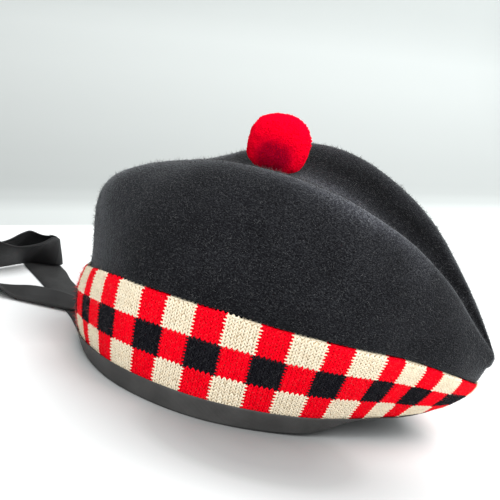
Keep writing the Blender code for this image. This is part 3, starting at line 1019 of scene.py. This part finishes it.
def make_strands(middle, half, material):
    """The pompom's cut strands, evenly round the core by the golden angle."""
    k = np.arange(STRANDS) + 0.5
    height = 1 - 2 * k / STRANDS
    turn = k * math.pi * (3 - math.sqrt(5))
    ring = np.sqrt(1 - height ** 2)
    direction = np.stack([ring * np.cos(turn), ring * np.sin(turn), height], axis=1)
    direction = unit(direction + stream.normal(0.0, STRAND_JITTER, direction.shape))
    tufts = np.array([noise.noise(Vector(d) * TUFT_SCALE) for d in direction])
    clumps = np.array([noise.noise(Vector(d) * CLUMP_SCALE) for d in direction])
    pressed_and_shaded = np.clip((direction @ unit(np.array(LOW_SIDE)) - PRESS_START) / PRESS_RUN, 0, 1)
    ragged = np.clip((direction @ unit(np.array(RAGGED_SIDE)) - RAGGED_START) / RAGGED_RUN, 0, 1)
    reach = REACH + TUFT_REACH * tufts + stream.normal(0.0, STRAND_REACH, STRANDS) - PRESS_DEPTH * pressed_and_shaded
    reach += ragged * (RAGGED_REACH * clumps + stream.normal(0.0, RAGGED_STRANDS, STRANDS))
    skin = pressed_ball(direction, half)
    root = middle + skin * (CORE_SHARE - ROOT_DEPTH)
    span = skin * (reach - CORE_SHARE + ROOT_DEPTH)[:, None]
    lengths = np.linalg.norm(span, axis=1)
    bm = bmesh.new()
    bmesh.ops.create_cone(bm, cap_ends=True, segments=4, radius1=0.35, radius2=0.5, depth=1.0)
    bmesh.ops.translate(bm, verts=bm.verts, vec=(0.0, 0.0, 0.5))
    widths = STRAND_WIDTH * (STRAND_NARROWEST + STRAND_WIDER * stream.random(STRANDS))
    axes = fibre_axes(unit(span), lengths, widths)
    mesh, count = repeat(finish_mesh(bm, "cut_strand"), root, axes)
    # Painted shade: the strands in the dent are darker
    lit = 1.0 - PRESS_PAINTED_SHADE * pressed_and_shaded + stream.normal(0.0, LIGHT_SCATTER, STRANDS)
    shade_copies(mesh, np.clip(lit, 0, 1), count)
    piece("pompom_strands", mesh, [material])


# Stage
def backdrop_material(along):
    """Pale paper with painted shade: greyer on its way up, and on the picture's left."""
    material = cloth("pale_backdrop", FLOOR_COLOR, 0.6)
    place = add(material, "ShaderNodeTexCoord")
    height = add(material, "ShaderNodeSeparateXYZ")
    join(material, place, "Object", height, "Vector")
    stops = [(z, tuple(tone * tint for tint in BACKDROP_TINT)) for z, tone in BACKDROP_TONES]
    shades = ramp(material, height, "Z", stops)
    side = add(material, "ShaderNodeVectorMath", operation="DOT_PRODUCT")
    side.inputs[1].default_value = along
    join(material, place, "Object", side, 0)
    across = add(material, "ShaderNodeMapRange")
    across.inputs["From Min"].default_value, across.inputs["From Max"].default_value = BACKDROP_SIDES
    join(material, side, "Value", across, "Value")
    sides = ramp(material, across, "Result", ((0.0, BACKDROP_LEFT), (1.0, (1.0, 1.0, 1.0))))
    paint(material, multiply(material, shades, sides))
    return material


def floor_material():
    """Pale paper, with the soft shade of the bonnet in front of it."""
    material = cloth("pale_floor", FLOOR_COLOR, 0.6)
    place = add(material, "ShaderNodeTexCoord")
    away = add(material, "ShaderNodeVectorMath", operation="SUBTRACT")
    away.inputs[1].default_value = SHADE_MIDDLE
    join(material, place, "Object", away, 0)
    shares = add(material, "ShaderNodeVectorMath", operation="DIVIDE")
    shares.inputs[1].default_value = SHADE_HALF
    join(material, away, "Vector", shares, 0)
    distance = add(material, "ShaderNodeVectorMath", operation="LENGTH")
    join(material, shares, "Vector", distance, 0)
    share = add(material, "ShaderNodeMath", operation="DIVIDE")
    share.inputs[1].default_value = SHADE_REACH
    join(material, distance, "Value", share, 0)
    stops = [(r / SHADE_REACH, tuple(tone * tint for tint in FLOOR_COLOR)) for r, tone in SHADE_TONES]
    paint(material, ramp(material, share, "Value", stops))
    return material


def make_stage(right, up, back):
    """A pale floor that turns up into a backdrop along a line that is level in the picture."""
    eye = AIM + back * CAMERA_DISTANCE
    focal = CAMERA_LENS / SENSOR_WIDTH
    ends = []
    for side in (-0.5, 0.5):
        ray = right * side / focal + up * BACKDROP_ROW / focal - back
        ends.append(eye + ray * (-eye.z / ray.z))
    along = (ends[1] - ends[0]).normalized()
    away = Vector((-along.y, along.x, 0.0))
    middle = (ends[0] + ends[1]) / 2
    bm = bmesh.new()
    bmesh.ops.create_grid(bm, x_segments=1, y_segments=1, size=FLOOR_HALF)
    for vertex in bm.verts:
        vertex.co = middle + along * vertex.co.x + away * vertex.co.y
        vertex.co.z = 0.0
    stage_piece("floor", bm, floor_material())
    bm = bmesh.new()
    bmesh.ops.create_grid(bm, x_segments=BACKDROP_COLUMNS, y_segments=BACKDROP_ROWS, size=1.0)
    bend = BACKDROP_BEND * math.pi / 2
    for vertex in bm.verts:
        row = (vertex.co.y + 1) * BACKDROP_ROWS / 2
        run = min(row, PLAIN_ROWS) * BACKDROP_STEP - BACKDROP_START
        side = float(np.interp(vertex.co.x, (-1.0, 1.0), BACKDROP_ENDS))
        top = float(np.interp(side, *BACKDROP_TOP))
        run += max(row - PLAIN_ROWS, 0.0) / (BACKDROP_ROWS - PLAIN_ROWS) * (top - run)
        turn = min(max(run, 0.0), bend) / BACKDROP_BEND
        forward = min(run, 0.0) + BACKDROP_BEND * math.sin(turn)
        height = BACKDROP_BEND * (1 - math.cos(turn)) + max(run - bend, 0.0)
        vertex.co = middle + along * side + away * forward
        vertex.co.z = height
    stage_piece("backdrop", bm, backdrop_material(along))


def stage_piece(name, bm, material):
    mesh = finish_mesh(bm, name)
    mesh.materials.append(material)
    thing = bpy.data.objects.new(name, mesh)
    bpy.context.scene.collection.objects.link(thing)


def lamp(name, place, size, power):
    """A round white lamp that points at the camera's aim."""
    data = bpy.data.lights.new(name, "AREA")
    data.shape = "DISK"
    data.size = size
    data.energy = power
    light = bpy.data.objects.new(name, data)
    light.location = place
    light.rotation_euler = (AIM - place).to_track_quat("-Z", "Y").to_euler()
    bpy.context.scene.collection.objects.link(light)


def make_light(right, up, back):
    world = bpy.data.worlds.new("studio")
    world.use_nodes = True
    background = world.node_tree.nodes["Background"]
    background.inputs["Color"].default_value = WORLD_COLOR
    background.inputs["Strength"].default_value = WORLD_STRENGTH
    bpy.context.scene.world = world
    lamp("top_light", AIM + Vector(TOP_PLACE), TOP_SIZE, TOP_POWER)
    behind, aside, above = FRONT_PLACE
    lamp("front_light", AIM + back * behind + right * aside + up * above, FRONT_SIZE, FRONT_POWER)


right, up, back = aim_camera()
felt = make_felt()
make_nap(felt)
make_band()
make_ribbons()
make_pompom()
make_stage(right, up, back)
make_light(right, up, back)
bpy.context.scene.view_settings.view_transform = "Standard"
bpy.context.view_layer.update()
